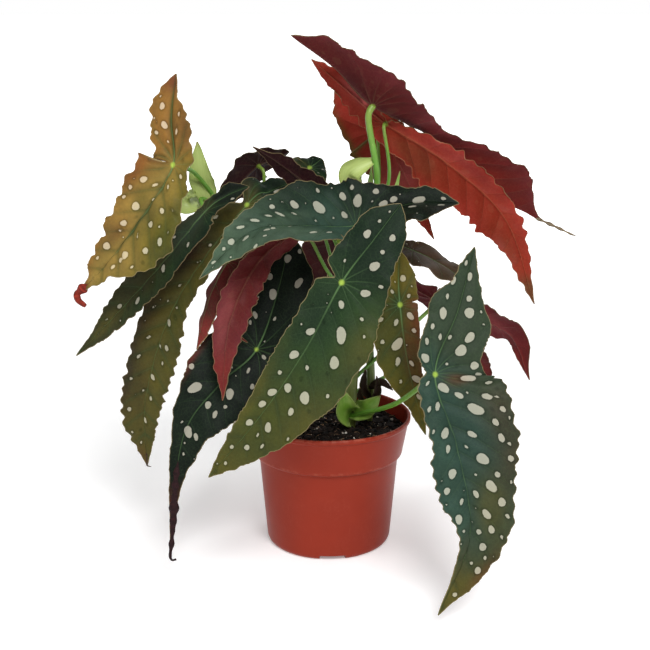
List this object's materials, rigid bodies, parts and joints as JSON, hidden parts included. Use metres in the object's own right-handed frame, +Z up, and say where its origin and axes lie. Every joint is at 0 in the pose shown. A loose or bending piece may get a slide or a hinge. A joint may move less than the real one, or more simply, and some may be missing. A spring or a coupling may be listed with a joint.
{
  "type": "potted polka dot begonia",
  "caption": "Polka dot begonia with angel-wing leaves, green above and red beneath, dotted silver-white, on green canes in a terracotta-coloured plastic nursery pot",
  "frame": {"origin": "centre of the pot's foot, on the surface that the pot stands on", "axes": "+Z up along the pot's axis; -Y towards the plant's front; +X to the right as seen from the front"},
  "size_m": [0.3576, 0.2898, 0.3655],
  "materials": {
    "pot": "satin terracotta-coloured polypropylene",
    "soil": "matt dark peat mix",
    "cane": "smooth green stems with pale green stipules",
    "leaf_green": "satin dark green with silver-white spots, red beneath",
    "leaf_olive": "satin olive and bronze with silver-white spots, red beneath",
    "leaf_red": "satin red underside, dark green with spots above"
  },
  "bodies": {
    "root": {"pot": "pot", "soil": "soil", "cane_main": "cane", "cane_left": "cane", "leaf_gold_left": "leaf_olive", "leaf_dark_left": "leaf_green", "leaf_olive_left": "leaf_olive", "leaf_front_high": "leaf_green", "leaf_front_long": "leaf_green", "leaf_front_right": "leaf_green", "leaf_olive_right": "leaf_olive", "leaf_brown_right": "leaf_green", "leaf_red_right": "leaf_red", "leaf_top": "leaf_red", "leaf_top_red": "leaf_red", "leaf_top_small": "leaf_red", "leaf_crimson": "leaf_red", "leaf_black_left": "leaf_green", "leaf_folded_left": "leaf_red", "leaf_maroon_back": "leaf_red", "leaf_maroon_tip": "leaf_red", "leaf_spotted_back": "leaf_green", "leaf_back_left": "leaf_green", "leaf_back_middle": "leaf_green", "leaf_back_right": "leaf_green", "leaf_back_high": "leaf_green"}
  },
  "joints": []
}
